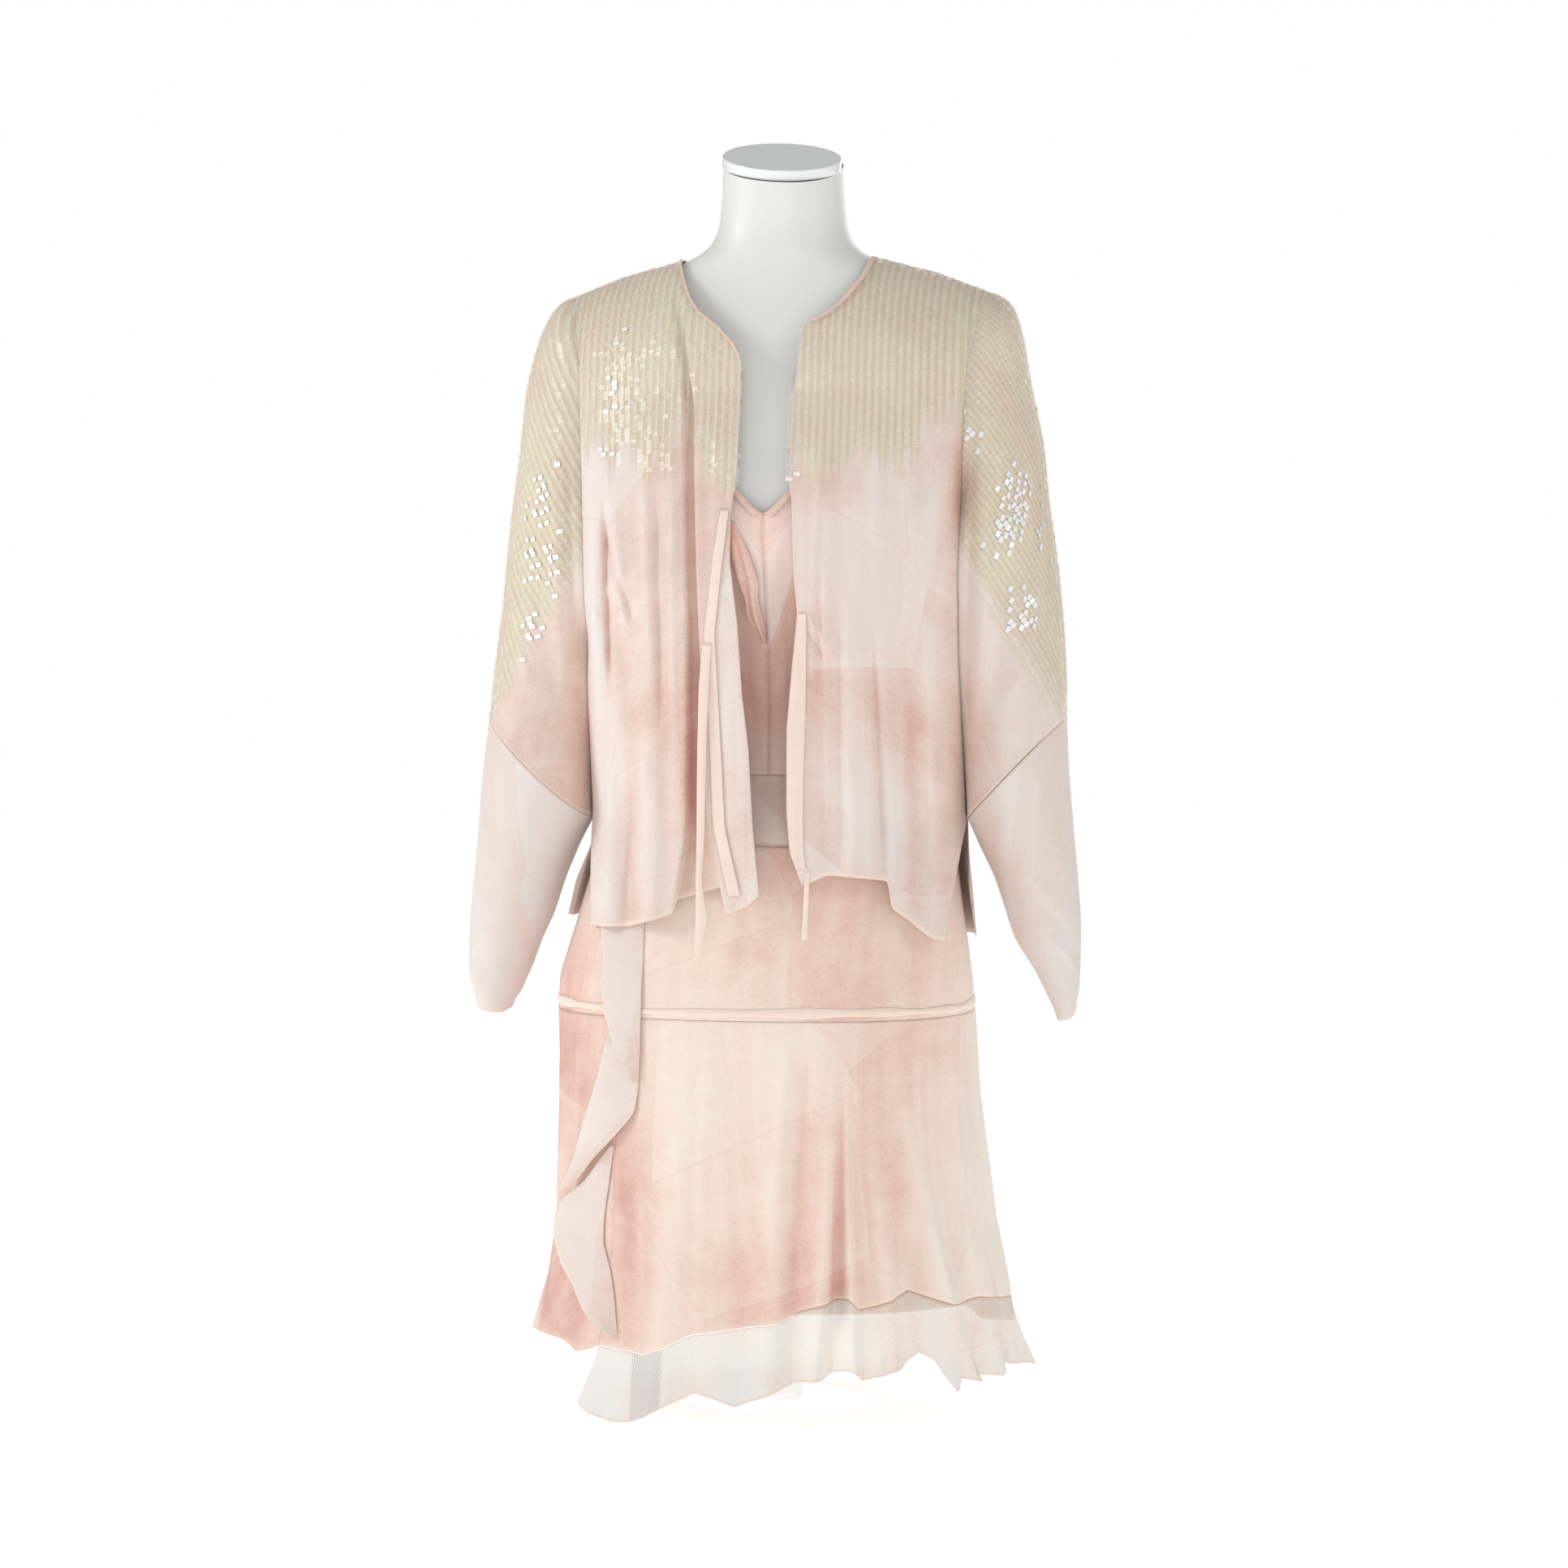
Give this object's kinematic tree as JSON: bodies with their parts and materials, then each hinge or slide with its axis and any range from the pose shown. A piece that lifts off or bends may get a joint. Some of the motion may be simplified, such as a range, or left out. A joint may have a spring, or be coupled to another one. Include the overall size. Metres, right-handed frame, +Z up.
{
  "type": "caftan dress ensemble on a limbless dress form",
  "caption": "Loose sheer silk slip dress with flounced hem under an open deep-sleeved jacket with a beaded yoke, standing on a limbless dress form.",
  "frame": {"origin": "centre of the underside of the stand's base, on the floor", "axes": "+Z up along the stand's column, -Y towards the garment's front, +X towards the viewer's right as seen from the front"},
  "size_m": [0.5844, 0.3595, 1.1985],
  "materials": {
    "form": "satin white",
    "form_gloss": "glossy white",
    "stand_clear": "clear acrylic",
    "jacket_chiffon": "sheer blush silk with a beaded yoke",
    "dress_chiffon": "matt blush silk",
    "sheer_ivory": "sheer ivory silk",
    "binding": "narrow silk binding"
  },
  "bodies": {
    "root": {"form_torso": "form", "form_neck_cap": "form_gloss", "form_pole": "stand_clear", "form_base": "stand_clear", "dress_bodice_front_left": "dress_chiffon", "dress_bodice_front_right": "dress_chiffon", "dress_bodice_back": "dress_chiffon", "dress_strap_left": "dress_chiffon", "dress_strap_right": "dress_chiffon", "dress_neck_binding_left": "binding", "dress_neck_binding_right": "binding", "dress_front_drape": "binding", "dress_midriff": "sheer_ivory", "dress_hip_yoke": "dress_chiffon", "dress_hip_tape": "sheer_ivory", "dress_skirt_front": "dress_chiffon", "dress_skirt_back": "dress_chiffon", "dress_lining_skirt": "dress_chiffon", "dress_hem_flounce": "sheer_ivory", "dress_cascade_upper": "sheer_ivory", "dress_cascade_middle": "sheer_ivory", "dress_cascade_lower": "sheer_ivory", "jacket_front_left": "jacket_chiffon", "jacket_front_right": "jacket_chiffon", "jacket_back": "jacket_chiffon", "jacket_sleeve_upper_left": "jacket_chiffon", "jacket_sleeve_upper_right": "jacket_chiffon", "jacket_sleeve_lower_left": "jacket_chiffon", "jacket_sleeve_lower_right": "jacket_chiffon", "jacket_neck_binding_left": "binding", "jacket_neck_binding_right": "binding", "jacket_neck_binding_back": "binding", "jacket_front_band_left": "sheer_ivory", "jacket_front_facing_right": "sheer_ivory", "jacket_tie_left": "sheer_ivory", "jacket_tie_right": "sheer_ivory"}
  },
  "joints": []
}
